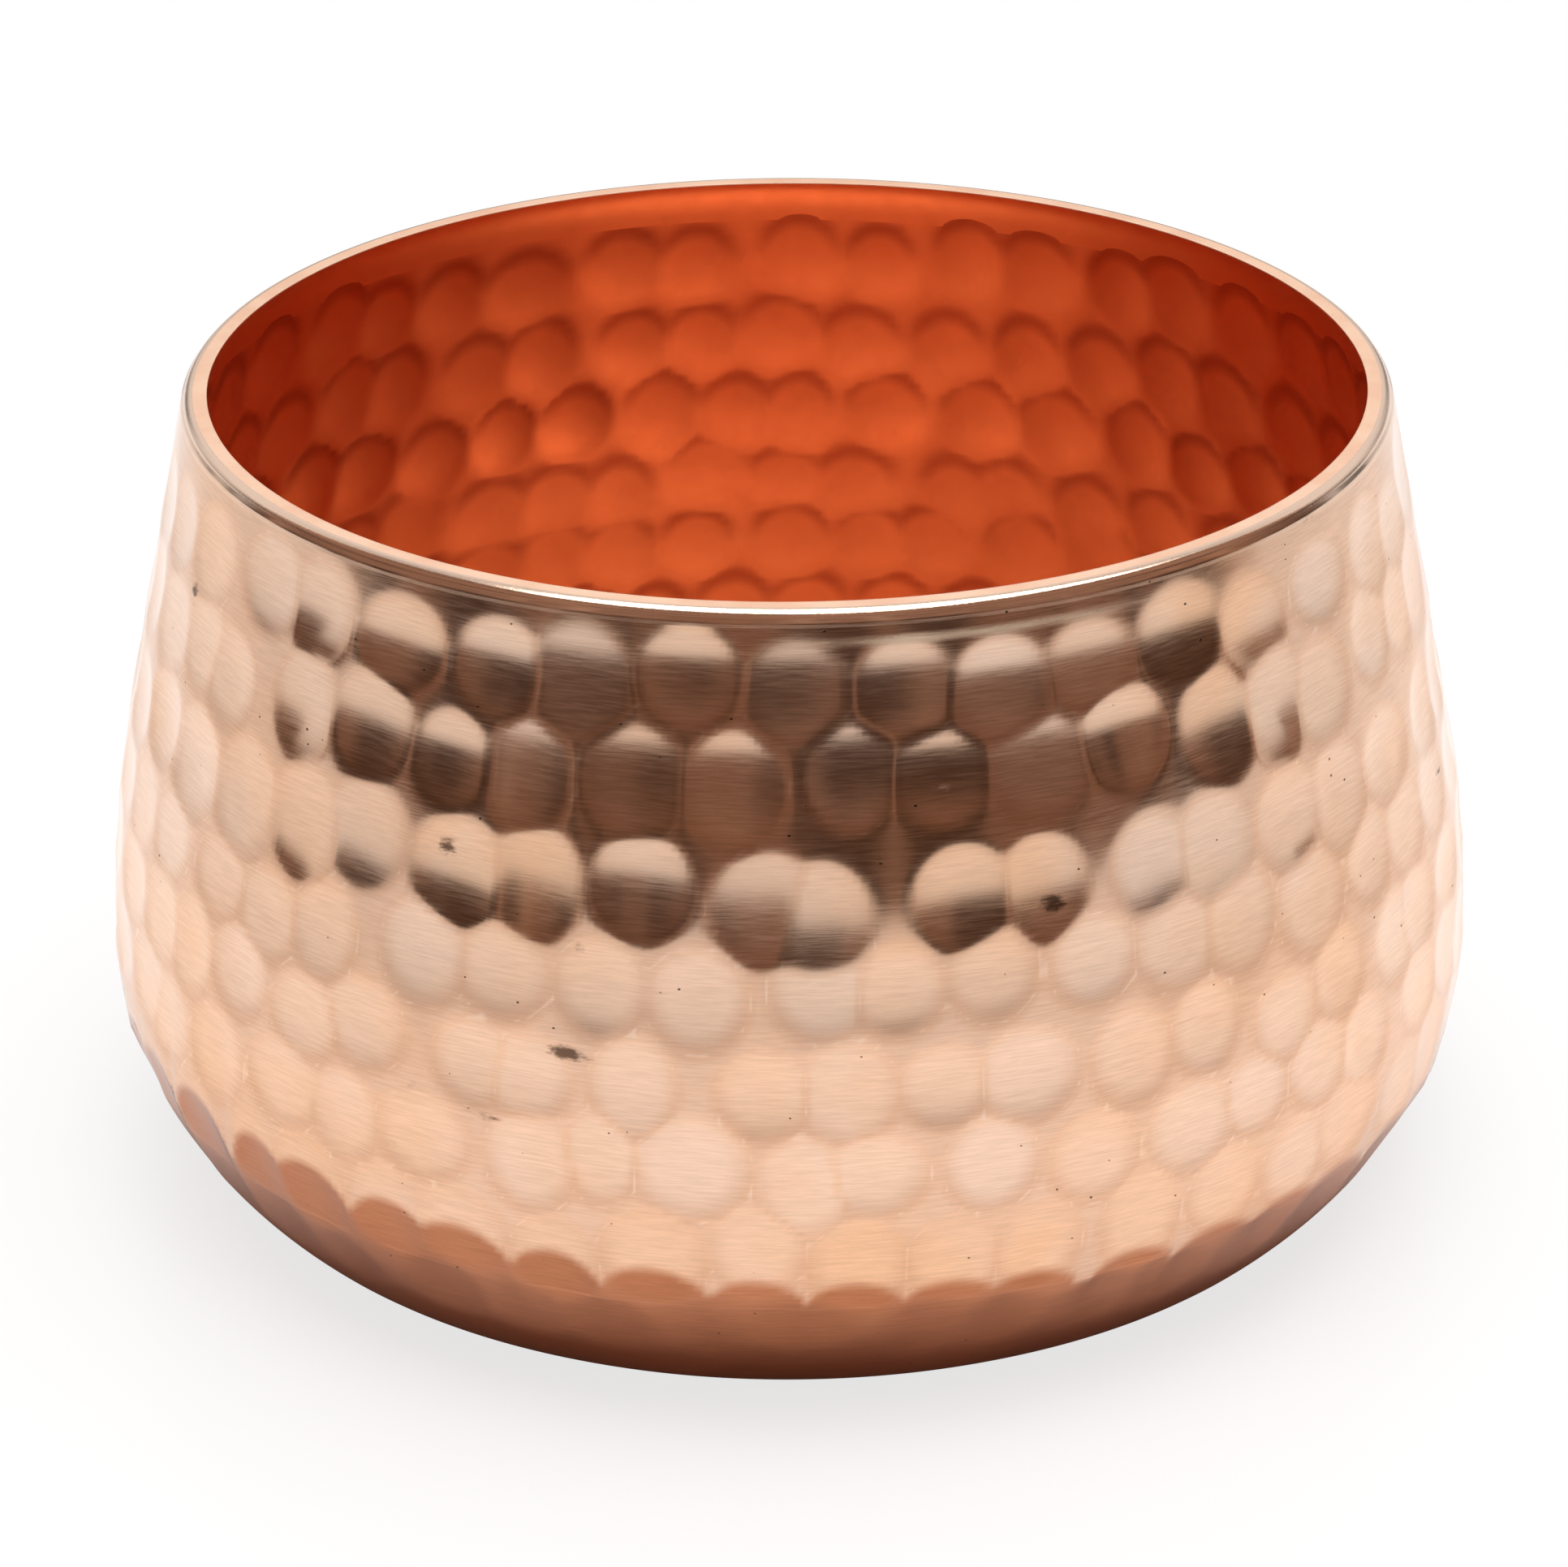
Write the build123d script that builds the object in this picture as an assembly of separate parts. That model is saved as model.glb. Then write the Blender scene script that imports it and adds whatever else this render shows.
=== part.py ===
from build123d import *
from math import atan, atan2, cos, degrees, radians, sin, tan
import os

# A round, single-walled bowl of beaten copper, flat underneath, widest low down and
# leaning in to a flat-topped mouth. Millimetres, +Z up, origin at the middle of the
# underside. Every piece is a ring or a dish turned about Z, so each is drawn as a
# half section, with X as the radius and Y as the height, and revolved.

# Overall form
mouth_diameter = 120.0  # across the outer edge of the lip
height = 82.5
belly_swell = 9.8  # how far the belly stands out past the mouth, each side
belly_height = 26.0  # level of the widest ring
straight_wall = 38.0  # length of the straight run of wall that ends at the lip
foot_inset = 5.5  # how far the edge of the flat underside lies inside the mouth
foot_corner = 7.0  # outside radius where the underside turns up into the side

# Metal
sheet = 1.2  # beaten wall
pan_thickness = 2.0  # floor and its turned-up edge
seam = 0.3  # braze left in each butt joint

# Lower joint: the wall stands on a rebate round the pan's turned-up edge
joint_height = 14.5
pan_lap = 5.0  # height of the pan's tongue behind the wall

# Upper joint: the rim ring caps the wall and has a skirt behind it
rim_width = 2.4  # flat top of the lip
rim_edge = 1.2  # height of the ring's outer edge
rim_skirt = 5.0  # depth of the ring from the lip to the toe of its skirt
rim_round = 0.35  # outer edge of the lip
toe = 0.35  # thickness left where a tongue or skirt is filed away

mouth_radius = mouth_diameter / 2
belly_radius = mouth_radius + belly_swell
foot_radius = mouth_radius - foot_inset

# The upper side is an arc, upright at the belly, that runs on into the straight wall.
side_rise = height - belly_height
lean = 2 * atan(belly_swell / (side_rise + straight_wall))
upper_arc = (side_rise - straight_wall * cos(lean)) / sin(lean)
upper_centre = (belly_radius - upper_arc, belly_height)

# The lower side is an arc, upright at the belly, that runs on into the foot's corner.
tuck = belly_radius - foot_radius
drop = belly_height - foot_corner
lower_arc = (tuck**2 + drop**2 - foot_corner**2) / (2 * (tuck - foot_corner))
lower_centre = (belly_radius - lower_arc, belly_height)
corner_centre = (foot_radius, foot_corner)
corner_turn = atan2(-drop, foot_radius - lower_centre[0])

sheet_across = sheet / cos(lean)  # the wall's thickness measured level, near the lip


def side_radius(level):
    """Outer radius of the straight wall at a level near the lip."""
    return mouth_radius + (height - level) * tan(lean)


def on_lower_arc(depth, level):
    """Point on the lower arc, at a depth under the outer skin and a level."""
    radius = lower_arc - depth
    return lower_centre[0] + (radius**2 - (level - belly_height) ** 2) ** 0.5, level


def skin(depth):
    """Half section of the bowl's surface, from the axis to the lip, at a depth inside the outer one."""
    turn = degrees(corner_turn)
    floor = Line((0, depth), (foot_radius, depth))
    corner = CenterArc(corner_centre, foot_corner - depth, -90, turn + 90)
    lower = CenterArc(lower_centre, lower_arc - depth, turn, -turn)
    upper = CenterArc(upper_centre, upper_arc - depth, 0, degrees(lean))
    lip = (mouth_radius - depth / cos(lean), height)
    return [floor, corner, lower, upper, Line(upper @ 1, lip)]


def layer(outer_depth, inner_depth):
    """Section of the metal between two depths under the outer surface."""
    outside, inside = skin(outer_depth), skin(inner_depth)
    at_lip = Line(outside[-1] @ 1, inside[-1] @ 1)
    at_axis = Line((0, outer_depth), (0, inner_depth))
    return make_face([*outside, *inside, at_lip, at_axis])


def between(low, high):
    """Half-plane strip between two levels, wider than the bowl."""
    reach = 2 * belly_radius
    return Pos(reach / 2, (low + high) / 2) * Rectangle(reach, high - low)


def turned(section):
    """Solid of a half section turned about the bowl's axis."""
    return revolve(Plane.XZ * section, Axis.Z)


def base_pan():
    """Floor with a turned-up edge, rebated outside so that the wall stands flush on it."""
    top = joint_height + pan_lap
    dish = layer(0, pan_thickness) & between(0, joint_height)
    tongue = layer(sheet, pan_thickness) & between(joint_height, top)
    filed = [on_lower_arc(pan_thickness, joint_height), on_lower_arc(sheet + toe, top)]
    clear = [(filed[1][0], top + toe), (0, top + toe), (0, joint_height)]
    return turned(dish + (tongue - make_face(Polyline(*filed, *clear, close=True))))


def base_seam():
    """Braze between the pan's rebate and the wall's lower edge."""
    return turned(layer(0, sheet) & between(joint_height, joint_height + seam))


def hammered_wall():
    """Side of the bowl, from the pan's rebate to the ring."""
    return turned(layer(0, sheet) & between(joint_height + seam, height - rim_edge - seam))


def rim_seam():
    """Braze between the wall's upper edge and the ring."""
    return turned(layer(0, sheet) & between(height - rim_edge - seam, height - rim_edge))


def rim_ring():
    """Flat lip with a skirt that tapers away down the wall's inner face."""
    under, end = height - rim_edge, height - rim_skirt
    section = make_face(
        Polyline(
            (mouth_radius, height),
            (mouth_radius - rim_width, height),
            (side_radius(end) - sheet_across - toe, end),
            (side_radius(end) - sheet_across, end),
            (side_radius(under) - sheet_across, under),
            (side_radius(under), under),
            close=True,
        )
    )
    outer_edge = section.vertices().sort_by_distance((mouth_radius, height))[0]
    return turned(fillet(outer_edge, rim_round))


os.makedirs("parts", exist_ok=True)
for piece in (base_pan, base_seam, hammered_wall, rim_seam, rim_ring):
    export_step(piece(), f"parts/{piece.__name__}.step")
print(f"side leans {degrees(lean):.2f} deg, arcs {upper_arc:.2f} and {lower_arc:.2f} mm")
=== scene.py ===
"""Looks of a beaten copper bowl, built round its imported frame.

Every surface of the bowl is one section turned about Z. Its points are found in millimetres from a
distance along the section and an angle round the bowl, then pushed in by the depth of the hammer marks.
"""
import math

import bpy
import numpy as np
from mathutils import Matrix, Vector


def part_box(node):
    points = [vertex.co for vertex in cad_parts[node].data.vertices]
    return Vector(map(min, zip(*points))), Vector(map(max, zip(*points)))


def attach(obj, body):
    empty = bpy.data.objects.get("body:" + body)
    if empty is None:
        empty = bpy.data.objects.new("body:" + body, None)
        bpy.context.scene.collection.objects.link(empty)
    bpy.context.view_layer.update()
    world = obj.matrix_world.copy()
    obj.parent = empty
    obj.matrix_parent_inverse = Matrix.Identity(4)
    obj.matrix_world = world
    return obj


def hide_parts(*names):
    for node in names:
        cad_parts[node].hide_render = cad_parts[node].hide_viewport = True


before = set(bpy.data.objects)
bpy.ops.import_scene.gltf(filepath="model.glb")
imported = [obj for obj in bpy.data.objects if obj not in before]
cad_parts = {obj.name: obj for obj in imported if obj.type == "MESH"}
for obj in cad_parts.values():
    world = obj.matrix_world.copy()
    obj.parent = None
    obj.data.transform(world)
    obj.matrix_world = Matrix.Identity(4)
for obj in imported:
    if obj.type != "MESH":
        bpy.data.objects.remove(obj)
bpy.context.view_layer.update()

MM = 0.001
TURN = 2 * math.pi

# ---------------------------------------------------------------- the bowl's section, in millimetres

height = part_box("rim_ring")[1].z / MM
joint_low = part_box("base_seam")[0].z / MM
joint_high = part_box("base_seam")[1].z / MM
rim_joint_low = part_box("rim_seam")[0].z / MM
rim_joint_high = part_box("rim_seam")[1].z / MM
skirt_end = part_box("rim_ring")[0].z / MM
tongue_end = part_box("base_pan")[1].z / MM
belly_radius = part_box("hammered_wall")[1].x / MM

# Sizes that no box of the frame shows, the same as in the CAD part.
mouth_radius = 60.0
belly_height = 26.0
straight_wall = 38.0
foot_radius = 54.5
foot_corner = 7.0
sheet = 1.2
pan_thickness = 2.0
rim_width = 2.4
pan_toe = 0.35
lip_toe = 0.06

side_rise = height - belly_height
lean = 2 * math.atan((belly_radius - mouth_radius) / (side_rise + straight_wall))
upper_arc = (side_rise - straight_wall * math.cos(lean)) / math.sin(lean)
tuck = belly_radius - foot_radius
drop = belly_height - foot_corner
lower_arc = (tuck**2 + drop**2 - foot_corner**2) / (2 * (tuck - foot_corner))
corner_turn = math.atan2(-drop, foot_radius - belly_radius + lower_arc)

# Distances along the section, from the middle of the underside, at which its five stretches end.
stretches = [
    foot_radius,
    foot_corner * (corner_turn + math.pi / 2),
    -lower_arc * corner_turn,
    upper_arc * lean,
    straight_wall,
]
floor_end, corner_end, belly_at, arc_end, lip_at = np.cumsum(stretches)


def section(along):
    """Radius, level and outward lean of the normal at distances along the outer skin.

    Flat floor, foot corner, lower arc, upper arc and straight wall follow one another, each tangent to
    the next: on an arc the point is the arc's centre plus its radius times the normal.
    """
    along = np.asarray(along, float)
    on = [along < floor_end, along < corner_end, along < belly_at, along < arc_end]
    in_corner = -math.pi / 2 + (along - floor_end) / foot_corner
    in_lower = corner_turn + (along - corner_end) / lower_arc
    in_upper = (along - belly_at) / upper_arc
    angle = np.select(on, [-math.pi / 2 + 0 * along, in_corner, in_lower, in_upper], lean)
    left = lip_at - along
    radius = np.select(
        on,
        [
            along,
            foot_radius + foot_corner * np.cos(angle),
            belly_radius - lower_arc + lower_arc * np.cos(angle),
            belly_radius - upper_arc + upper_arc * np.cos(angle),
        ],
        mouth_radius + left * math.sin(lean),
    )
    level = np.select(
        on,
        [
            0 * along,
            foot_corner + foot_corner * np.sin(angle),
            belly_height + lower_arc * np.sin(angle),
            belly_height + upper_arc * np.sin(angle),
        ],
        height - left * math.cos(lean),
    )
    return radius, level, angle


TABLE_ALONG = np.linspace(floor_end, lip_at, 4001)
TABLE_LEVEL = section(TABLE_ALONG)[1]


def along_at(level):
    """Distance along the outer skin at a level above the floor."""
    return float(np.interp(level, TABLE_LEVEL, TABLE_ALONG))


# ---------------------------------------------------------------- hammer marks

# One line a row, from the lip down: level, marks round the bowl, depth of a blow, its half height and
# how warm its colour is.
ROWS = [
    (75.6, 40, 0.34, 5.1, 0.0),
    (66.2, 43, 0.38, 5.4, 0.0),
    (56.2, 44, 0.49, 5.4, 0.0),
    (47.0, 46, 0.28, 5.0, 0.1),
    (38.2, 47, 0.36, 5.0, 0.1),
    (29.2, 47, 0.34, 4.9, 0.2),
    (20.0, 46, 0.38, 5.2, 0.7),
    (10.8, 44, 0.22, 4.6, 0.3),
]
FIRST_MARK = [0.6, -4.1, -3.0, 0.5, -3.5, 1.0, -2.4, 0.8]  # degrees from the front, row by row


def place_marks():
    """Angle, distance along, half width, half height, depth and tone of every blow, as one array.

    Blows stand evenly round each row, which drifts up and down in two sine waves and lies lower behind.
    Each is then moved, sized and sunk a little at random: the wanderings are shares of the pitch, of the
    size and of the depth, or millimetres up and down.
    """
    overlap = 0.545
    sideways, up_and_down, in_size, in_depth = 0.12, 0.7, 0.07, 0.13
    shallowest, deepest = 0.7, 1.35
    drop_behind, long_drift, short_drift = 1.6, 0.5, 0.35
    chance = np.random.default_rng(7)
    blows = []
    for (level, count, depth, half_height, warmth), first in zip(ROWS, FIRST_MARK):
        at = along_at(level)
        round_bowl = float(section(at)[0]) * TURN
        pitch = round_bowl / count
        angle = math.radians(first - 90) + TURN * np.arange(count) / count
        angle = angle + chance.normal(0, sideways, count) * TURN / count
        drift = long_drift * np.sin(angle + level) + short_drift * np.sin(2 * angle - level)
        lower_behind = drop_behind * (1 + np.sin(angle)) * min(1, level / 60)
        along = at + drift - lower_behind + chance.normal(0, up_and_down, count)
        half_width = pitch * overlap * chance.normal(1, in_size, count)
        tall = half_height * chance.normal(1, in_size, count)
        sunk = depth * np.clip(chance.normal(1, in_depth, count), shallowest, deepest)
        tone = chance.random(count) + warmth
        blows.append(np.stack([angle, along, half_width, tall, sunk, tone], 1))
    return np.concatenate(blows)


BLOWS = place_marks()


def beaten(angle, along, soften):
    """Depth of the hammer marks under the smooth skin, and four masks for the materials.

    The masks are closeness to a ridge, tone of the mark, height within the mark from -1 to 1, and
    distance from the mark's centre, from 0 to 1 at its edge.

    A blow is a round-bottomed dent: depth times one less the square of the distance from its centre,
    measured in half widths and half heights. The metal lies at the deepest dent over each point, and
    soften, in millimetres, rounds the ridge where two dents meet: the depth is soften times the log of
    the sum of exp(dent / soften), with the untouched skin counted as a dent of no depth. The ridge mask
    falls from 1 where the two deepest dents are equal to 0 where they differ by the ridge depth.
    """
    reach, ridge_depth, far_away = 9.0, 0.10, -1.0
    angle, along = np.broadcast_arrays(angle, along)
    radius = section(along)[0]
    total = np.ones(angle.shape)
    first, second = np.zeros(angle.shape), np.full(angle.shape, far_away)
    toned, weight = np.full(angle.shape, 0.5), np.ones(angle.shape)
    raised, outward = np.zeros(angle.shape), np.ones(angle.shape)
    for at_angle, at_along, half_width, half_height, depth, tone in BLOWS:
        rows = np.abs(along[0] - at_along) < reach
        if not rows.any():
            continue
        across = (angle[:, rows] - at_angle + math.pi) % TURN - math.pi
        across = across * radius[:, rows] / half_width
        up = (along[:, rows] - at_along) / half_height
        away = across**2 + up**2
        dent = np.maximum(depth * (1 - away), far_away)
        share = np.exp(dent / soften)
        total[:, rows] += share
        toned[:, rows] += share * tone
        raised[:, rows] += share * up
        outward[:, rows] += share * np.sqrt(away)
        weight[:, rows] += share
        best, next_best = first[:, rows], second[:, rows]
        second[:, rows] = np.maximum(next_best, np.minimum(best, dent))
        first[:, rows] = np.maximum(best, dent)
    ridge = np.clip(1 - (first - second) / ridge_depth, 0, 1)
    return soften * np.log(total), ridge, toned / weight, raised / weight, outward / weight


# Stains: degrees right of the front, level, half width and half height in millimetres, strength.
STAINS = [
    (-17.4, 40.6, 2.3, 0.8, 1.0),
    (-28.9, 58.0, 1.3, 1.3, 0.85),
    (-16.6, 51.0, 0.9, 0.7, 0.6),
    (21.2, 54.0, 1.6, 1.1, 0.8),
    (-24.0, 33.0, 2.8, 0.7, 0.6),
    (-7.4, 41.2, 1.6, 0.3, 0.5),
    (-66.0, 70.0, 1.0, 1.2, 0.8),
    (74.0, 47.0, 1.3, 0.6, 0.7),
    (128.0, 60.0, 1.2, 0.8, 0.8),
    (164.0, 36.0, 1.8, 0.5, 0.8),
    (-142.0, 52.0, 1.1, 0.9, 0.7),
    (-110.0, 31.0, 1.5, 0.6, 0.6),
]
# Scrapes left by the lip's file: from and to in degrees right of the front, level, strength.
SCRAPES = [(-2, 36, 79.7, 1.0), (-27, -9, 80.0, 0.7), (96, 131, 79.9, 0.8), (-150, -118, 79.8, 0.7)]


def stained(angle, along):
    """Strength of the stains at each point: a bell curve round the centre of each."""
    level, radius = section(along)[1], section(along)[0]
    found = np.zeros(np.broadcast_shapes(angle.shape, along.shape))
    for turned, high, half_width, half_height, strength in STAINS:
        across = (angle - math.radians(turned - 90) + math.pi) % TURN - math.pi
        away = (across * radius / half_width) ** 2 + ((level - high) / half_height) ** 2
        found = np.maximum(found, strength * np.exp(-away))
    return found


def scraped(angle, along):
    """Strength of the thin bright scrapes under the lip, each rising a little and fading at its ends."""
    scrape_rise, scrape_width = 0.5, 0.28
    level = section(along)[1]
    found = np.zeros(np.broadcast_shapes(angle.shape, along.shape))
    for start, end, high, strength in SCRAPES:
        half = math.radians(end - start) / 2
        across = (angle - math.radians((start + end) / 2 - 90) + math.pi) % TURN - math.pi
        inside = np.clip(1 - (across / half) ** 2, 0, 1)
        line = np.exp(-(((level - high - scrape_rise * across) / scrape_width) ** 2))
        found = np.maximum(found, strength * inside * line)
    return found


def foot_line(angle):
    """Level of the crest round the foot, which bounds the painted shade there: it climbs at the front left,
    where the shade is wider, and arches over each mark of the lowest full row as an ellipse, the root of
    one less the square of the distance from its centre."""
    full_row, last_row = ROWS[6][1], ROWS[7][1]
    start, climb, climbs_at = joint_high - 0.8, 3.2, math.radians(-147)
    arch_height, taller_left = 2.0, 2.6
    arch = np.zeros(angle.shape)
    for at_angle, _, half_width, *_ in BLOWS[-full_row - last_row : -last_row]:
        across = (angle - at_angle + math.pi) % TURN - math.pi
        across = across * belly_radius / half_width
        arch = np.maximum(arch, np.sqrt(np.clip(1 - across**2, 0, 1)))
    left = ((1 + np.cos(angle - climbs_at)) / 2) ** 4
    return start + climb * left + (arch_height + taller_left * left) * arch


def foot_shade_mask(angle, along):
    """Mask of the painted shade on the foot: 1 under the crest round the foot and 0 over it, with a soft
    step of so many millimetres.
    """
    step = 1.2
    return np.clip((foot_line(angle) - section(along)[1]) / step + 0.5, 0, 1)


def wander(angle, along):
    """Unevenness left by handwork, in millimetres inwards: nothing at lip and foot.

    Slow waves run round and up the side. Above the belly the front swells out a little in a bell curve
    over the level, so that the wall stands straighter below it and leans in more above it. Along the
    foot line the skin has a soft knuckle, which falls off exponentially above and below.
    """
    two_waves, three_waves = 0.10, 0.07
    swell_out, swell_level, swell_spread, lip_clear = 1.4, 55.5, 14.0, 3.0
    swells_at = math.radians(-88)
    knuckle_out, knuckle_fade, knuckle_foot, knuckle_full = 0.5, 4.0, 3.0, 9.0
    share = np.clip((along - corner_end) / (lip_at - corner_end), 0, 1)
    waves = two_waves * np.sin(2 * angle + 5 * share) + three_waves * np.sin(3 * angle - 7 * share)
    waves = np.sin(math.pi * share) ** 2 * (waves + two_waves + three_waves)
    level = section(along)[1]
    in_front = ((1 + np.cos(angle - swells_at)) / 2) ** 6
    swell = swell_out * in_front * np.exp(-(((level - swell_level) / swell_spread) ** 2))
    swell = swell * np.clip((height - level) / lip_clear, 0, 1)
    knuckle = knuckle_out * np.exp(-np.abs(level - foot_line(angle)) / knuckle_fade)
    knuckle = knuckle * np.clip((level - knuckle_foot) / (knuckle_full - knuckle_foot), 0, 1)
    return waves - swell - knuckle


def planished(angle, along):
    """Depth, in millimetres, of the shallow round dents that planishing leaves on the inner floor.

    They stand in rings about a blow wide, each ring staggered from the next. A dent is its
    depth times one less the square of the distance from its centre, measured in half blows round the
    ring and across it, and never less than nothing.
    """
    blow, depth, plain_edge, stagger = 9.0, 0.07, 3.0, 0.37
    ring = np.floor(along / blow)
    middle = (ring + 0.5) * blow
    count = np.round(TURN * middle / blow)
    turned = angle * count / TURN + stagger * ring
    across = 2 * (turned - np.floor(turned)) - 1
    up = 2 * (along - middle) / blow
    outer_end = np.clip((floor_end - plain_edge - along) / blow, 0, 1)
    return depth * outer_end * np.clip(1 - across**2 - up**2, 0, 1)


# ---------------------------------------------------------------- meshes

# Grid steps along the section and rounding of the ridges between marks, in millimetres.
OUTSIDE_STEP, INSIDE_STEP = 0.68, 1.1
PAN_EDGE_STEP, CORNER_STEP, LAP_STEP, UNDERSIDE_STEP = 0.66, 0.8, 1.0, 4.0
CRISP, SOFT = 0.03, 0.06
SHARP_EDGE = math.radians(40)
AROUND = 600
angles = (np.arange(AROUND) * TURN / AROUND)[:, None]


def ring_points(angle, along, inset):
    """Points at angles round the bowl and distances along its skin, sunk by inset under it."""
    radius, level, normal = section(along)
    radius = radius - inset * np.cos(normal)
    level = level - inset * np.sin(normal)
    radius, level = np.broadcast_arrays(radius, level)
    return np.stack([radius * np.cos(angle), radius * np.sin(angle), level], -1)


def turned_points(angle, profile):
    """Points of a plain turned section: each (radius, level) of the profile at every angle."""
    profile = np.asarray(profile, float)
    radius, level = profile[None, :, 0], profile[None, :, 1]
    flat = np.broadcast_to(level, (len(angle), profile.shape[0]))
    return np.stack([radius * np.cos(angle), radius * np.sin(angle), flat], -1)


def ring_mesh(name, points, slots, poles=False, masks=None):
    """Closed mesh from a grid of points: first index round the bowl, second round the section.

    The section closes on itself, or ends on the axis at both poles. slots gives a material number for
    each strip of the section, and masks are values kept on the vertices for the materials.
    """
    around, steps, _ = points.shape
    index = np.arange(around * steps).reshape(around, steps)
    right = np.roll(index, -1, axis=0)
    vertices = points.reshape(-1, 3) * MM
    if poles:
        here, after = index[:, :-1], index[:, 1:]
        beside, beside_after = right[:, :-1], right[:, 1:]
    else:
        here, after = index, np.roll(index, -1, axis=1)
        beside, beside_after = right, np.roll(right, -1, axis=1)
    quads = np.stack([here, beside, beside_after, after], -1).reshape(-1, 4)
    faces = quads.tolist()
    strip = np.tile(np.arange(here.shape[1]), around)
    numbers = np.asarray(slots)[strip].tolist()
    if poles:
        for end, flip in ((0, False), (steps - 1, True)):
            ring = index[:, end]
            centre = np.array([[0, 0, points[0, end, 2] * MM]])
            hub = len(vertices)
            vertices = np.concatenate([vertices, centre])
            pair = np.stack([ring, np.roll(ring, -1), np.full(around, hub)], -1)
            faces += (pair if flip else pair[:, ::-1]).tolist()
            numbers += [slots[0] if end == 0 else slots[-1]] * around
    mesh = bpy.data.meshes.new(name)
    mesh.from_pydata(vertices.tolist(), [], faces)
    mesh.polygons.foreach_set("material_index", numbers)
    mesh.polygons.foreach_set("use_smooth", [True] * len(faces))
    for mask, values in (masks or {}).items():
        layer = mesh.attributes.new(mask, "FLOAT", "POINT")
        filled = np.zeros(len(vertices))
        filled[: values.size] = values.reshape(-1)
        layer.data.foreach_set("value", filled)
    mesh.set_sharp_from_angle(angle=SHARP_EDGE)
    piece = bpy.data.objects.new(name, mesh)
    bpy.context.scene.collection.objects.link(piece)
    return piece


def strips(start, end, pitch):
    """Distances from start to end, both kept, about a pitch apart."""
    return np.linspace(start, end, max(2, int(round(abs(end - start) / pitch)) + 1))


def hide_skin(inset, low, high, pitch):
    """Inner face of the sheet between two levels: dents come through it as soft bumps."""
    along = strips(along_at(high), along_at(low), pitch)[None, :]
    sunk, *masks = beaten(angles, along, SOFT)
    points = ring_points(angles, along, inset + sunk + wander(angles, along))
    # No stains, scrapes or painted foot shade on the inner face.
    no_wear_or_foot_shade = 0 * sunk
    return points, *masks, no_wear_or_foot_shade, no_wear_or_foot_shade, no_wear_or_foot_shade


def show_skin(low, high, pitch):
    """Outer face between two levels, with crisp ridges between the marks."""
    along = strips(along_at(low), along_at(high), pitch)[None, :]
    sunk, *masks = beaten(angles, along, CRISP)
    points = ring_points(angles, along, sunk + wander(angles, along))
    # Stains and scrapes are wear; the foot mask is painted shade.
    wear_and_foot_shade = stained(angles, along), scraped(angles, along), foot_shade_mask(angles, along)
    return points, *masks, *wear_and_foot_shade


def side_piece(name, low, high):
    """Stretch of the side, one sheet thick, beaten outside and bumped inside."""
    outside = show_skin(low, high, OUTSIDE_STEP)
    inside = hide_skin(sheet, low, high, INSIDE_STEP)
    points, *found = [np.concatenate(pair, 1) for pair in zip(outside, inside)]
    slots = [0] * outside[0].shape[1] + [1] * inside[0].shape[1]
    masks = dict(zip(("ridge", "tone", "raised", "outward", "stain", "scrape", "foot"), found))
    return ring_mesh(name, points, slots, masks=masks)


def pan_piece(name):
    """Floor and turned-up edge: outside to the joint, the rebate, the filed tongue, then the inside.

    The tongue thins in a straight line from the pan's full thickness to its filed toe, and stands a hair
    clear of the sheet in front of it.
    """
    hub, clearance = foot_radius / 24, 0.02
    before_corner, corner_start = floor_end - 2, floor_end - 1.2
    underside = strips(hub, before_corner, UNDERSIDE_STEP)
    corner = strips(corner_start, corner_end, CORNER_STEP)
    edge = strips(corner_end, along_at(joint_low), PAN_EDGE_STEP)[1:]
    along = np.concatenate([underside, corner, edge])[None, :]
    sunk, ridge, tone, *_ = beaten(angles, along, CRISP)
    outside = ring_points(angles, along, sunk + wander(angles, along))
    lap = strips(along_at(joint_low), along_at(tongue_end), LAP_STEP)[None, :]
    under_sheet = beaten(angles, lap, CRISP)[0] + wander(angles, lap)
    tongue_out = ring_points(angles, lap, sheet + clearance + under_sheet)
    back = lap[:, ::-1]
    share = (back - back.min()) / (back.max() - back.min())
    thick = pan_thickness - share * (pan_thickness - sheet - pan_toe)
    tongue_in = ring_points(angles, back, thick + under_sheet[:, ::-1])
    inner_floor = strips(before_corner, hub, INSIDE_STEP)
    inner_along = np.concatenate([edge[-2::-2], corner[::-1], inner_floor])[None, :]
    soft = beaten(angles, inner_along, SOFT)[0] + wander(angles, inner_along)
    inside = ring_points(angles, inner_along, pan_thickness + soft + planished(angles, inner_along))
    points = np.concatenate([outside, tongue_out, tongue_in, inside], 1)
    outer = outside.shape[1]
    slots = [0] * outer + [1] * (points.shape[1] - outer)
    ridges, tones = np.zeros(points.shape[:2]), np.full(points.shape[:2], 0.5)
    ridges[:, :outer] = ridge
    tones[:, :outer] = tone
    foot = np.ones(points.shape[:2])
    foot[:, :outer] = foot_shade_mask(angles, along)
    masks = {"ridge": ridges, "tone": tones, "foot": foot}
    return ring_mesh(name, points, slots, poles=True, masks=masks)


def side_radius(level):
    """Outer radius of the straight wall at a level."""
    return mouth_radius + (height - level) * math.tan(lean)


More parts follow.
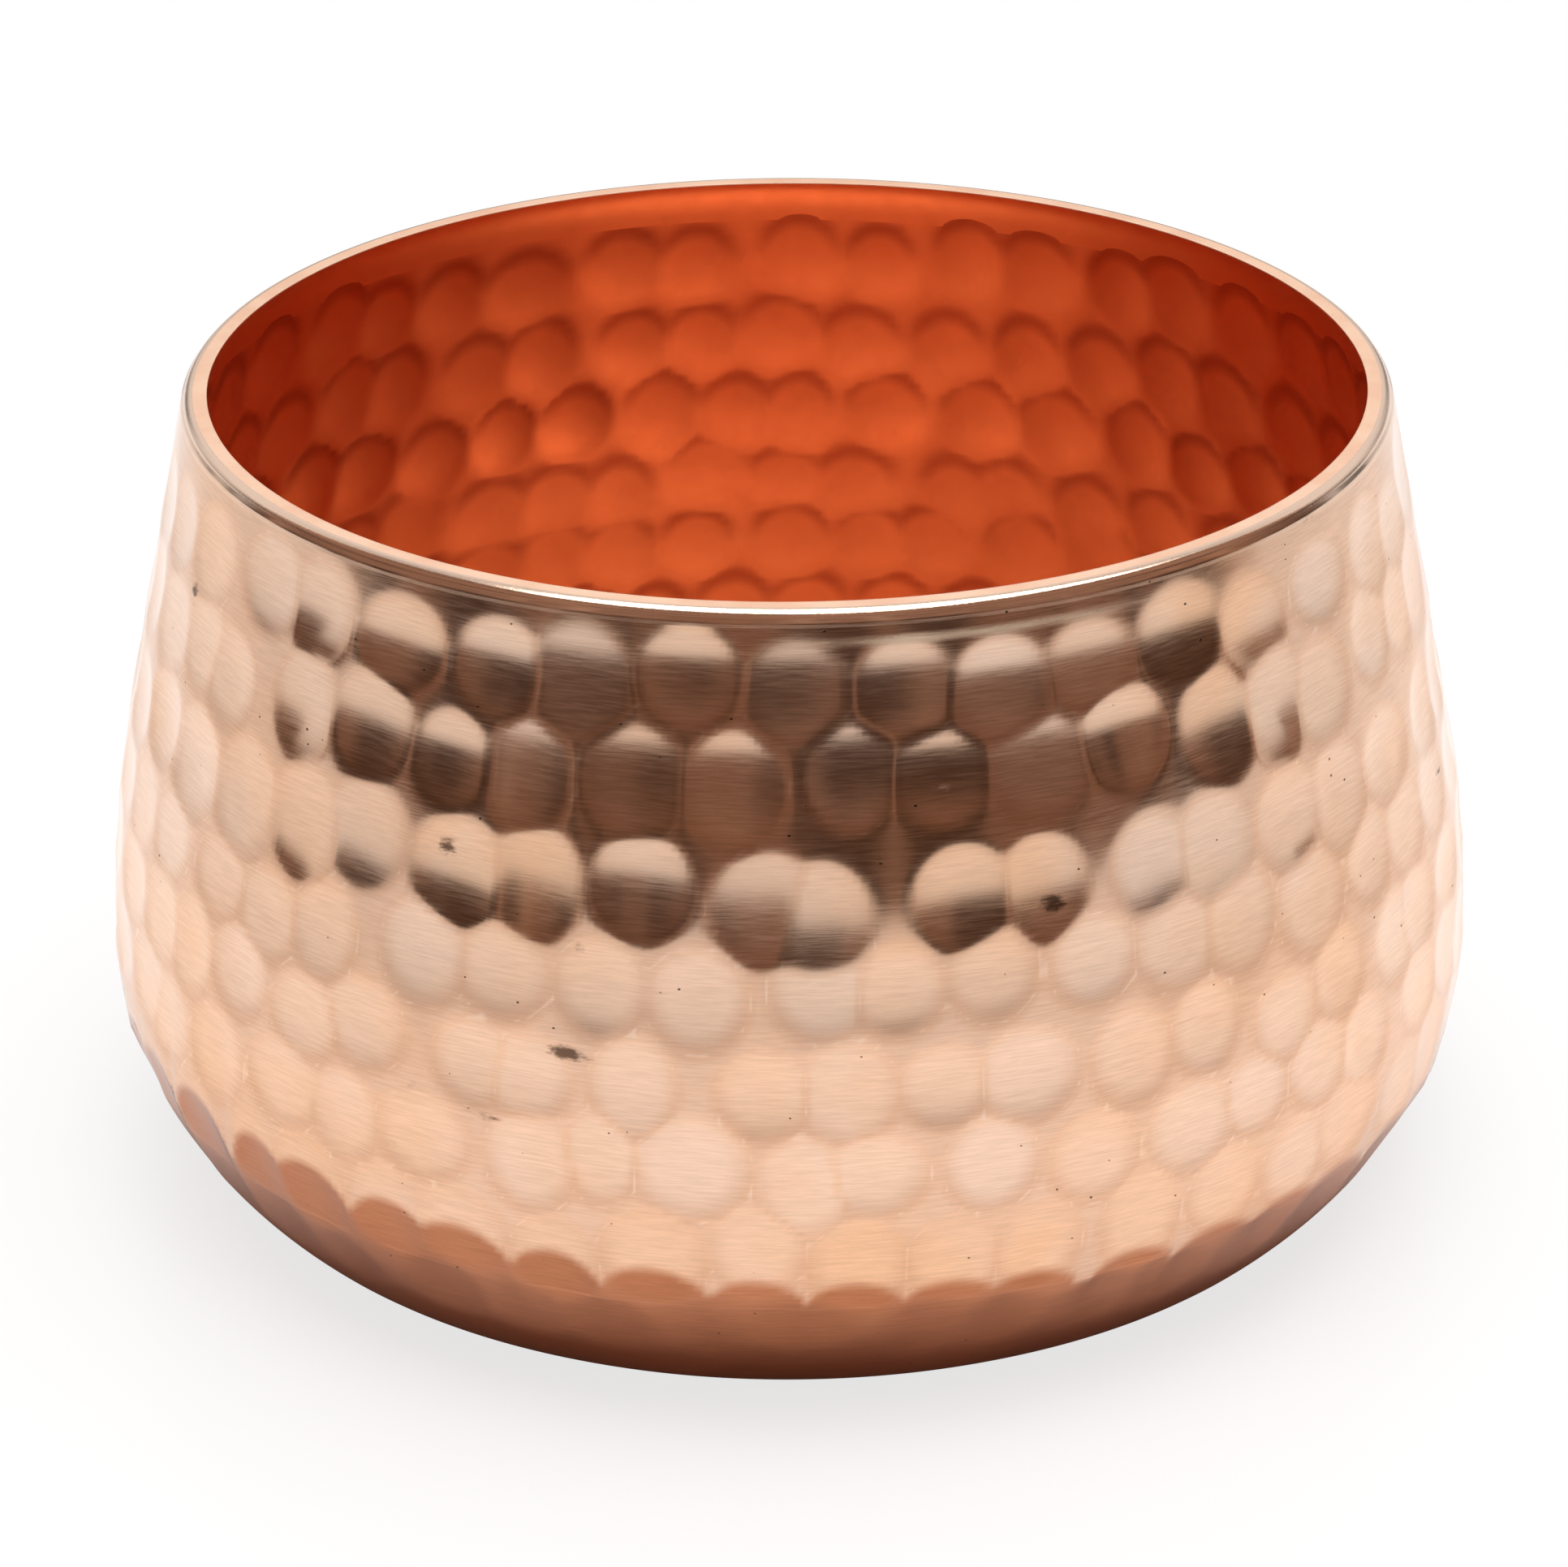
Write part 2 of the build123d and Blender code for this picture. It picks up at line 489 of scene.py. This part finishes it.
def lip_piece(name):
    """Flat lip, rounded outside, sharp inside, with its skirt filed away down the wall.

    The skirt's inner face leaves the lip with the cube of the share of its height, so that it meets the
    wall without a step.
    """
    rounding, inner_bevel, above_joint = 0.9, 0.1, 0.3
    across = sheet / math.cos(lean)
    middle = mouth_radius - rounding
    inner_radius = mouth_radius - rim_width
    turn = np.linspace(lean, math.pi / 2, 11)
    edge = [(middle + rounding * math.cos(a), height - rounding + rounding * math.sin(a)) for a in turn]
    flat = [(r, height) for r in np.linspace(middle - 0.1, inner_radius + 0.12, 9)]
    inner_top = [(inner_radius + 0.03, height - 0.02), (inner_radius, height - inner_bevel)]
    thicker = rim_width - across
    skirt = []
    for t in np.linspace(0.92, 0, 10):
        level = skirt_end + (height - inner_bevel - skirt_end) * t
        skirt.append((side_radius(level) - across - lip_toe * (1 - t) - thicker * t**3, level))
    hidden = [(side_radius(level) - across, level) for level in (skirt_end, rim_joint_high)]
    skin = [(side_radius(level), level) for level in (rim_joint_high, rim_joint_high + above_joint)]
    profile = skin + edge + flat + inner_top + skirt + hidden
    shine = [0.0] * len(skin) + [1.0] * len(edge)
    shine += [0.0] * (len(profile) - len(shine))
    slots = [2] * len(skin) + [0] * (len(edge) + len(flat) + 1)
    slots += [1] * (len(profile) - len(slots))
    masks = {"shine": np.tile(np.asarray(shine), (AROUND, 1))}
    return ring_mesh(name, turned_points(angles, profile), slots, masks=masks)


def seam_piece(name, low, high):
    """Braze in a butt joint: fills the sheet's thickness, filed flush with the skin."""
    along = np.array([along_at(low), along_at((low + high) / 2), along_at(high)])[None, :]
    sunk = beaten(angles, along, CRISP)[0] + wander(angles, along)
    outside = ring_points(angles, along, sunk)
    inside = ring_points(angles, along[:, ::-1], sheet + sunk[:, ::-1])
    points = np.concatenate([outside, inside], 1)
    foot = np.repeat(foot_shade_mask(angles, along[:, :1]), points.shape[1], 1)
    return ring_mesh(name, points, [0] * points.shape[1], masks={"foot": foot})


# ---------------------------------------------------------------- shader groups


def group(name, inputs, outputs):
    """Empty node group with named value or colour sockets."""
    tree = bpy.data.node_groups.new(name, "ShaderNodeTree")
    for label, kind, value in inputs:
        socket = tree.interface.new_socket(label, in_out="INPUT", socket_type=kind)
        socket.default_value = value
    for label, kind in outputs:
        tree.interface.new_socket(label, in_out="OUTPUT", socket_type=kind)
    return tree, tree.nodes.new("NodeGroupInput"), tree.nodes.new("NodeGroupOutput")


class Bench:
    """Short calls for adding and joining nodes in one tree."""

    def __init__(self, tree):
        self.tree = tree

    def add(self, kind, **settings):
        node = self.tree.nodes.new(kind)
        for label, value in settings.items():
            setattr(node, label, value)
        return node

    def join(self, source, target):
        self.tree.links.new(source, target)

    def feed(self, socket, value):
        if isinstance(value, bpy.types.NodeSocket):
            self.join(value, socket)
        else:
            socket.default_value = value

    def math(self, operation, a, b=0.0, c=0.0):
        node = self.add("ShaderNodeMath", operation=operation)
        for socket, value in zip(node.inputs, (a, b, c)):
            self.feed(socket, value)
        return node.outputs[0]

    def spread(self, value, low, high, to_low=0.0, to_high=1.0):
        node = self.add("ShaderNodeMapRange", interpolation_type="SMOOTHSTEP")
        for socket, given in zip(node.inputs, (value, low, high, to_low, to_high)):
            self.feed(socket, given)
        return node.outputs[0]

    def noise(self, vector, scale, detail=3.0, roughness=0.5):
        node = self.add("ShaderNodeTexNoise")
        self.join(vector, node.inputs["Vector"])
        self.feed(node.inputs["Scale"], scale)
        node.inputs["Detail"].default_value = detail
        node.inputs["Roughness"].default_value = roughness
        return node.outputs["Fac"]

    def mapped(self, vector, scale, shift=(0, 0, 0)):
        node = self.add("ShaderNodeMapping")
        self.join(vector, node.inputs["Vector"])
        node.inputs["Scale"].default_value = scale
        node.inputs["Location"].default_value = shift
        return node.outputs[0]

    def mix(self, share, a, b, blend="MIX"):
        node = self.add("ShaderNodeMix", data_type="RGBA", blend_type=blend)
        self.feed(node.inputs[0], share)
        self.feed(node.inputs[6], a)
        self.feed(node.inputs[7], b)
        return node.outputs[2]

    def place(self, tree):
        node = self.add("ShaderNodeGroup")
        node.node_tree = tree
        return node


def brush_group():
    """Fine lines left by brushing round the bowl: long across, under half a millimetre high."""
    tree, given, out = group(
        "brush lines",
        [("Fineness", "NodeSocketFloat", 1.0)],
        [("Lines", "NodeSocketFloat"), ("Scratches", "NodeSocketFloat")],
    )
    b = Bench(tree)
    place = b.add("ShaderNodeTexCoord").outputs["Object"]
    fine = b.noise(b.mapped(place, (330, 330, 7500)), given.outputs["Fineness"], 4, 0.65)
    broad = b.noise(b.mapped(place, (190, 190, 3600), (3, 1, 2)), given.outputs["Fineness"], 3, 0.55)
    lines = b.math("MULTIPLY_ADD", fine, 0.7, b.math("MULTIPLY", broad, 0.3))
    scratch = b.noise(b.mapped(place, (150, 150, 5200), (9, 4, 7)), given.outputs["Fineness"], 2, 0.5)
    patchy = b.spread(b.noise(place, 130, 2), 0.45, 0.65)
    scratches = b.math("MULTIPLY", b.spread(scratch, 0.68, 0.80), patchy)
    b.join(lines, out.inputs["Lines"])
    b.join(scratches, out.inputs["Scratches"])
    return tree


def speck_group():
    """Pits and dirt: pinhead dots in some cells of a scattered pattern, and a few soft stains."""
    tree, given, out = group(
        "specks and stains",
        [("Rarity", "NodeSocketFloat", 0.9)],
        [("Pits", "NodeSocketFloat"), ("Stains", "NodeSocketFloat")],
    )
    b = Bench(tree)
    place = b.add("ShaderNodeTexCoord").outputs["Object"]
    bent = b.mapped(place, (1, 1, 1.3))
    cells = b.add("ShaderNodeTexVoronoi")
    b.join(bent, cells.inputs["Vector"])
    cells.inputs["Scale"].default_value = 600
    lot = b.add("ShaderNodeSeparateColor")
    b.join(cells.outputs["Color"], lot.inputs[0])
    chosen = b.math("GREATER_THAN", lot.outputs[0], given.outputs["Rarity"])
    size = b.math("MULTIPLY_ADD", lot.outputs[1], 0.07, 0.035)
    dot = b.math("LESS_THAN", cells.outputs["Distance"], size)
    pits = b.math("MULTIPLY", chosen, dot)
    smear = b.noise(b.mapped(place, (90, 90, 190), (2, 5, 1)), 1.0, 5, 0.65)
    stains = b.spread(smear, 0.69, 0.80)
    b.join(pits, out.inputs["Pits"])
    b.join(stains, out.inputs["Stains"])
    return tree


BRUSH = brush_group()
SPECKS = speck_group()

# ---------------------------------------------------------------- materials

# Colours of bare copper, of painted shade at the marks' edges and on the foot, of lip, pickled inside with
# its painted shade, brazes and dirt.
PALE_COPPER, WARM_COPPER = (0.92, 0.67, 0.52, 1), (0.93, 0.58, 0.37, 1)
RIDGE_SHADE_RUDDY, LOW_EDGE_SHADE_COPPER = (0.86, 0.47, 0.26, 1), (0.72, 0.42, 0.27, 1)
WORN_COPPER, SCRAPED_COPPER = (0.95, 0.73, 0.60, 1), (1.0, 0.83, 0.62, 1)
SANDED_COPPER, SANDED_WARM = (0.96, 0.67, 0.49, 1), (0.91, 0.58, 0.41, 1)
SANDING_GRIT, POLISHED_EDGE = (0.62, 0.34, 0.25, 1), (0.95, 0.68, 0.52, 1)
FOOT_SHADE_BROWN, DEEP_FOOT_SHADE_BROWN = (0.66, 0.285, 0.15, 1), (0.56, 0.22, 0.105, 1)
PICKLED_ORANGE, PICKLED_RED_AND_SHADE = (0.91, 0.415, 0.215, 1), (0.70, 0.26, 0.13, 1)
FLOOR_ORANGE, FLOOR_RED = (0.82, 0.37, 0.19, 1), (0.72, 0.29, 0.145, 1)
CRESCENT_SHADE_RED = (0.40, 0.11, 0.06, 1)
FOOT_BRAZE_PALE, FOOT_BRAZE_WARM = (0.95, 0.67, 0.51, 1), (0.93, 0.59, 0.37, 1)
LIP_BRAZE_PALE, LIP_BRAZE_WARM = (0.93, 0.65, 0.48, 1), (0.89, 0.58, 0.38, 1)
SCRATCH_BROWN, TARNISH = (0.35, 0.22, 0.16, 1), (0.30, 0.19, 0.14, 1)
PIT_BLACK, STAIN_BLACK = (0.05, 0.03, 0.02, 1), (0.10, 0.055, 0.035, 1)


def copper(name):
    """New metal material, its bench and its shader."""
    material = bpy.data.materials.new(name)
    material.use_nodes = True
    b = Bench(material.node_tree)
    shader = material.node_tree.nodes["Principled BSDF"]
    shader.inputs["Metallic"].default_value = 1.0
    return material, b, shader


def round_the_bowl(b, shader, amount):
    """Stretch the highlights across the brushing, which runs round the bowl."""
    tangent = b.add("ShaderNodeTangent", direction_type="RADIAL", axis="Z")
    b.join(tangent.outputs[0], shader.inputs["Tangent"])
    shader.inputs["Anisotropic"].default_value = amount
    shader.inputs["Anisotropic Rotation"].default_value = 0.25


def bumped(b, shader, height_value, distance, strength):
    """Feed a height, from 0 to 1 over a distance in metres, to the shader's normal through a bump."""
    bump = b.add("ShaderNodeBump")
    bump.inputs["Strength"].default_value = strength
    bump.inputs["Distance"].default_value = distance
    b.join(height_value, bump.inputs["Height"])
    b.join(bump.outputs[0], shader.inputs["Normal"])


def brushed_copper(name, bright=PALE_COPPER, warm=WARM_COPPER, roughness=0.12):
    """Satin copper brushed round the bowl, with pits, stains, warm patches and worn ridges, and painted
    shade beside the ridges, at the marks' low edges and on the foot.
    """
    material, b, shader = copper(name)
    brush, specks = b.place(BRUSH), b.place(SPECKS)
    specks.inputs["Rarity"].default_value = 0.86
    ridge = b.add("ShaderNodeAttribute", attribute_name="ridge").outputs["Fac"]
    mark = b.add("ShaderNodeAttribute", attribute_name="tone").outputs["Fac"]
    place = b.add("ShaderNodeTexCoord").outputs["Object"]

    # Warm in cloudy patches, and mark by mark.
    patch = b.spread(b.noise(place, 55, 3), 0.40, 0.72)
    patch = b.math("MULTIPLY_ADD", mark, 0.45, b.math("MULTIPLY", patch, 0.55))
    tone = b.mix(patch, bright, warm)

    # Painted shade at the marks' edges: a ruddy tint beside each ridge and a brown shade at the low edge of
    # each mark; and pale on the worn ridge itself.
    worn_edge = b.spread(ridge, 0.75, 1.0)
    # Painted shade: a ruddy tint beside each ridge.
    beside_ridge_shade = b.math("MULTIPLY", b.spread(ridge, 0.05, 0.5), b.math("SUBTRACT", 1.0, worn_edge))
    tone = b.mix(b.math("MULTIPLY", beside_ridge_shade, 0.2), tone, RIDGE_SHADE_RUDDY)
    raised = b.add("ShaderNodeAttribute", attribute_name="raised").outputs["Fac"]
    outward = b.add("ShaderNodeAttribute", attribute_name="outward").outputs["Fac"]
    # Painted shade: darker and browner at the low edge of each mark.
    low_edge_shade = b.math("MULTIPLY", b.spread(outward, 0.5, 0.95), b.spread(raised, 0.7, -0.5, 0.25, 1.0))
    low_edge_shade = b.math("MULTIPLY", low_edge_shade, b.math("SUBTRACT", 1.0, worn_edge))
    tone = b.mix(b.math("MULTIPLY", low_edge_shade, 0.55), tone, LOW_EDGE_SHADE_COPPER)
    tone = b.mix(b.math("MULTIPLY", worn_edge, 0.08), tone, WORN_COPPER)

    # The file's scrapes, and painted shade on the foot: brown below the crest round it.
    scrape = b.add("ShaderNodeAttribute", attribute_name="scrape").outputs["Fac"]
    tone = b.mix(b.math("MULTIPLY", scrape, 0.8), tone, SCRAPED_COPPER)
    foot = b.add("ShaderNodeAttribute", attribute_name="foot").outputs["Fac"]
    # Painted shade: the foot turns brown below the crest, higher at the front left.
    painted_foot_shade = b.mix(patch, FOOT_SHADE_BROWN, DEEP_FOOT_SHADE_BROWN)
    tone = b.mix(foot, tone, painted_foot_shade)

    # Brush lines, scratches, tarnish and pits, then the larger stains with torn edges.
    lined = b.spread(brush.outputs["Lines"], 0.38, 0.62, 0.86, 1.0)
    tone = b.mix(1.0, tone, lined, "MULTIPLY")
    tone = b.mix(b.math("MULTIPLY", brush.outputs["Scratches"], 0.35), tone, SCRATCH_BROWN)
    tone = b.mix(b.math("MULTIPLY", specks.outputs["Stains"], 0.45), tone, TARNISH)
    tone = b.mix(b.math("MULTIPLY", specks.outputs["Pits"], 0.85), tone, PIT_BLACK)
    stain = b.add("ShaderNodeAttribute", attribute_name="stain").outputs["Fac"]
    torn = b.noise(b.mapped(place, (500, 500, 1400)), 1.0, 4, 0.7)
    blot = b.spread(b.math("ADD", stain, b.math("MULTIPLY_ADD", torn, 1.2, -0.6)), 0.35, 0.75)
    blot = b.math("MULTIPLY", blot, b.spread(stain, 0.05, 0.4, 0.0, 0.9))
    tone = b.mix(blot, tone, STAIN_BLACK)
    b.join(tone, shader.inputs["Base Color"])

    rough = b.spread(brush.outputs["Lines"], 0.3, 0.7, roughness - 0.02, roughness + 0.04)
    rough = b.math("MULTIPLY_ADD", ridge, 0.03, rough)
    rough = b.math("MULTIPLY_ADD", specks.outputs["Stains"], 0.2, rough)
    rough = b.math("MULTIPLY_ADD", scrape, 0.25, rough)
    b.join(rough, shader.inputs["Roughness"])

    round_the_bowl(b, shader, 0.4)
    dents = b.math("MULTIPLY_ADD", specks.outputs["Pits"], -1.5, brush.outputs["Lines"])
    bumped(b, shader, dents, 0.004 * MM, 0.5)
    return material


def inner_copper(name, bright=PICKLED_ORANGE, deep=PICKLED_RED_AND_SHADE, roughness=0.30):
    """Inside face: pickled, matte, with no brush lines, and painted darker red as shade from the lip down
    to half way.

    Each bump has painted shade along its upper edge: a dark red crescent.
    """
    material, b, shader = copper(name)
    place = b.add("ShaderNodeTexCoord").outputs["Object"]
    cloud = b.spread(b.noise(place, 70, 4), 0.35, 0.7)
    level = b.add("ShaderNodeSeparateXYZ")
    b.join(place, level.inputs[0])
    # Painted shade: darker red towards the lip; the cloudy patches are the metal's own colour.
    upper = b.spread(level.outputs[2], 0.018, 0.052)
    tone = b.mix(b.math("MULTIPLY_ADD", upper, 0.75, b.math("MULTIPLY", cloud, 0.25)), bright, deep)
    raised = b.add("ShaderNodeAttribute", attribute_name="raised").outputs["Fac"]
    outward = b.add("ShaderNodeAttribute", attribute_name="outward").outputs["Fac"]
    # Painted shade: a dark red crescent along the upper edge of each bump.
    crescent = b.math("MULTIPLY", b.spread(outward, 0.58, 0.95), b.spread(raised, -0.1, 0.6))
    tone = b.mix(b.math("MULTIPLY", crescent, 0.75), tone, CRESCENT_SHADE_RED)
    b.join(tone, shader.inputs["Base Color"])
    rough = b.spread(b.noise(place, 400, 3), 0.3, 0.7, roughness, roughness + 0.07)
    b.join(rough, shader.inputs["Roughness"])
    grain = b.noise(place, 2600, 2)
    bumped(b, shader, grain, 0.01 * MM, 0.4)
    return material


def sanded_lip(name):
    """Lip: matte and pinkish where it is sanded flat, polished on its rounded outer edge."""
    material, b, shader = copper(name)
    place = b.add("ShaderNodeTexCoord").outputs["Object"]
    shine = b.add("ShaderNodeAttribute", attribute_name="shine").outputs["Fac"]
    grain = b.noise(place, 5200, 3, 0.7)
    cloud = b.spread(b.noise(place, 160, 3), 0.35, 0.7)
    tone = b.mix(cloud, SANDED_COPPER, SANDED_WARM)
    tone = b.mix(b.spread(grain, 0.58, 0.75, 0, 0.5), tone, SANDING_GRIT)
    tone = b.mix(shine, tone, POLISHED_EDGE)
    b.join(tone, shader.inputs["Base Color"])
    matte = b.spread(grain, 0.3, 0.7, 0.42, 0.56)
    rough = b.math("MULTIPLY_ADD", shine, -0.34, matte)
    b.join(rough, shader.inputs["Roughness"])
    bumped(b, shader, grain, 0.02 * MM, 0.5)
    return material


# ---------------------------------------------------------------- pieces


def finish_piece(piece, node, materials):
    """Give a piece its materials and its body, and hide the CAD node that it stands for."""
    for material in materials:
        piece.data.materials.append(material)
    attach(piece, "root")
    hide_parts(node)


outside_copper = brushed_copper("brushed copper")
foot_copper = brushed_copper("foot copper", roughness=0.19)
inside_copper = inner_copper("pickled copper")
floor_copper = inner_copper("pickled floor", FLOOR_ORANGE, FLOOR_RED, 0.5)
lip_copper = sanded_lip("sanded copper")
foot_braze = brushed_copper("foot braze", FOOT_BRAZE_PALE, FOOT_BRAZE_WARM, 0.17)
braze = brushed_copper("filed braze", LIP_BRAZE_PALE, LIP_BRAZE_WARM, 0.21)

wall = side_piece("beaten_wall", joint_high, rim_joint_low)
finish_piece(wall, "hammered_wall", [outside_copper, inside_copper])
pan = pan_piece("turned_up_pan")
finish_piece(pan, "base_pan", [foot_copper, floor_copper])
lip = lip_piece("flat_lip")
finish_piece(lip, "rim_ring", [lip_copper, inside_copper, outside_copper])
lip_seam = seam_piece("lip_braze", rim_joint_low, rim_joint_high)
finish_piece(lip_seam, "rim_seam", [braze])
foot_seam = seam_piece("foot_braze", joint_low, joint_high)
finish_piece(foot_seam, "base_seam", [foot_braze])

# ---------------------------------------------------------------- floor, light and camera


TABLE_WHITE = (0.87, 0.87, 0.87, 1)
STUDIO_WHITE = (1.0, 1.0, 1.0, 1)
ROOM_BROWN, ROOM_TAN = (0.34, 0.205, 0.150, 1), (0.52, 0.34, 0.255, 1)


def pale_floor():
    """Wide white table top, which fades into the white room behind it.

    Mirrored in the bowl, the table ends in front of it along an ellipse, and the dim side of the room
    shows beyond. Sizes and distances are in metres.
    """
    reach, half_length, half_width = 6.0, 0.8, 0.9
    mesh = bpy.data.meshes.new("floor")
    corners = [(-reach, -reach, 0), (reach, -reach, 0), (reach, reach, 0), (-reach, reach, 0)]
    mesh.from_pydata(corners, [], [(0, 1, 2, 3)])
    floor = bpy.data.objects.new("floor", mesh)
    bpy.context.scene.collection.objects.link(floor)
    material = bpy.data.materials.new("white table")
    material.use_nodes = True
    b = Bench(material.node_tree)
    shader = material.node_tree.nodes["Principled BSDF"]
    shader.inputs["Base Color"].default_value = TABLE_WHITE
    shader.inputs["Roughness"].default_value = 0.25
    shader.inputs["Specular IOR Level"].default_value = 0.35
    place = b.add("ShaderNodeTexCoord").outputs["Object"]
    apart = b.add("ShaderNodeSeparateXYZ")
    b.join(place, apart.inputs[0])
    x, y, _ = apart.outputs
    away = b.add("ShaderNodeVectorMath", operation="LENGTH")
    b.join(place, away.inputs[0])
    seen = b.add("ShaderNodeLightPath").outputs["Is Camera Ray"]

    # The table fades into a plain white glow, painted light that lifts its shadows: early where it is seen,
    # later where it is mirrored.
    near_white = b.spread(away.outputs["Value"], 0.10, 0.30, 0.76, 1.0)
    mirrored_white = b.spread(away.outputs["Value"], 0.15, 0.60, 0.0, 0.6)
    whiteness = b.math("MULTIPLY_ADD", b.math("SUBTRACT", near_white, mirrored_white), seen, mirrored_white)
    # Painted light: the table glows white and lifts its own shadows.
    paper_glow = b.add("ShaderNodeEmission")
    lifted = b.add("ShaderNodeMixShader")
    b.join(whiteness, lifted.inputs[0])
    b.join(shader.outputs[0], lifted.inputs[1])
    b.join(paper_glow.outputs[0], lifted.inputs[2])

    # Past the ellipse, in front, there is only air for every ray but the camera's.
    along = b.math("POWER", b.math("DIVIDE", b.math("MINIMUM", y, 0.0), -half_length), 2.0)
    across = b.math("POWER", b.math("DIVIDE", b.math("ABSOLUTE", x), half_width), 2.0)
    in_front = b.math("LESS_THAN", y, 0.0)
    beyond = b.math("MULTIPLY", b.math("GREATER_THAN", b.math("ADD", along, across), 1.0), in_front)
    open_air = b.add("ShaderNodeBsdfTransparent")
    ended = b.add("ShaderNodeMixShader")
    b.join(b.math("MULTIPLY", beyond, b.math("SUBTRACT", 1.0, seen)), ended.inputs[0])
    b.join(lifted.outputs[0], ended.inputs[1])
    b.join(open_air.outputs[0], ended.inputs[2])
    b.join(ended.outputs[0], material.node_tree.nodes["Material Output"].inputs["Surface"])
    mesh.materials.append(material)


def upright_bands(b, across, scale, detail):
    """Soft upright bands round the room: noise over the angle round it."""
    bands = b.add("ShaderNodeTexNoise", noise_dimensions="1D")
    b.join(across, bands.inputs["W"])
    bands.inputs["Scale"].default_value = scale
    bands.inputs["Detail"].default_value = detail
    return bands.outputs["Fac"]


def studio_world():
    """White studio behind the bowl and overhead, and a dim brown room at the front and sides.

    The ceiling is greyer than the walls, grey screens stand low down all round, and paler bands stand in
    the dim room. This is what lights the bowl and what it mirrors: the camera sees plain white.
    """
    world = bpy.data.worlds.new("studio")
    bpy.context.scene.world = world
    world.use_nodes = True
    b = Bench(world.node_tree)
    backdrop = world.node_tree.nodes["Background"]
    way = b.add("ShaderNodeTexCoord").outputs["Generated"]
    parts = b.add("ShaderNodeSeparateXYZ")
    b.join(way, parts.inputs[0])
    x, y, z = parts.outputs
    seen = b.add("ShaderNodeLightPath").outputs["Is Camera Ray"]
    unseen = b.math("SUBTRACT", 1.0, seen)

    # The dim room: not behind the bowl, and not straight overhead.
    level = b.math("SQRT", b.math("ADD", b.math("MULTIPLY", x, x), b.math("MULTIPLY", y, y)))
    backward = b.math("DIVIDE", y, level)
    not_behind = b.spread(backward, 0.50, 0.36)
    not_overhead = b.spread(z, 0.90, 0.80)
    dim = b.math("MULTIPLY", b.math("MULTIPLY", not_behind, not_overhead), unseen)
    across = b.math("ARCTAN2", x, b.math("MULTIPLY", y, -1.0))
    pale = b.spread(upright_bands(b, across, 5.0, 3), 0.54, 0.66)
    room = b.mix(pale, ROOM_BROWN, ROOM_TAN)
    b.join(b.mix(dim, STUDIO_WHITE, room), backdrop.inputs["Color"])

    # What the ceiling and the screens take from the full strength of 1.
    ceiling = b.spread(z, 0.55, 0.85, -0.18, -0.50)
    screen = b.spread(upright_bands(b, across, 3.5, 2), 0.42, 0.58, -0.20, -0.62)
    low_screen = b.math("MULTIPLY", screen, b.spread(z, 0.10, 0.45, 1.0, 0.0))
    strength = b.math("MULTIPLY_ADD", unseen, b.math("ADD", ceiling, low_screen), 1.0)
    b.join(strength, backdrop.inputs["Strength"])


def soft_lamp(name, place, target, size, power):
    """Square soft light with a side, a place and a target in metres, and a power in watts."""
    lamp = bpy.data.lights.new(name, "AREA")
    lamp.size = size
    lamp.energy = power
    light = bpy.data.objects.new(name, lamp)
    light.location = place
    way = Vector(target) - Vector(place)
    light.rotation_mode = "QUATERNION"
    light.rotation_quaternion = way.to_track_quat("-Z", "Y")
    bpy.context.scene.collection.objects.link(light)


def long_lens_camera():
    """Camera in front of the bowl, looking down about 25 degrees through a long lens, a hair off level."""
    roll = math.radians(-0.28)
    camera = bpy.data.cameras.new("camera")
    camera.sensor_width = 36
    camera.lens = 130.4
    eye = bpy.data.objects.new("camera", camera)
    place = Vector((0, -529.9, 285.7)) * MM
    target = Vector((-0.5, 0, 37.3)) * MM
    turn = (target - place).to_track_quat("-Z", "Y").to_matrix().to_4x4()
    eye.matrix_world = Matrix.Translation(place) @ turn @ Matrix.Rotation(roll, 4, "Z")
    bpy.context.scene.collection.objects.link(eye)
    bpy.context.scene.camera = eye


pale_floor()
studio_world()
soft_lamp("overhead", place=(0.07, -0.04, 1.2), target=(0, 0, 0.05), size=1.1, power=17)
long_lens_camera()

scene = bpy.context.scene
scene.view_settings.view_transform = "Standard"
scene.cycles.max_bounces = 16
scene.cycles.glossy_bounces = 14
scene.cycles.diffuse_bounces = 4
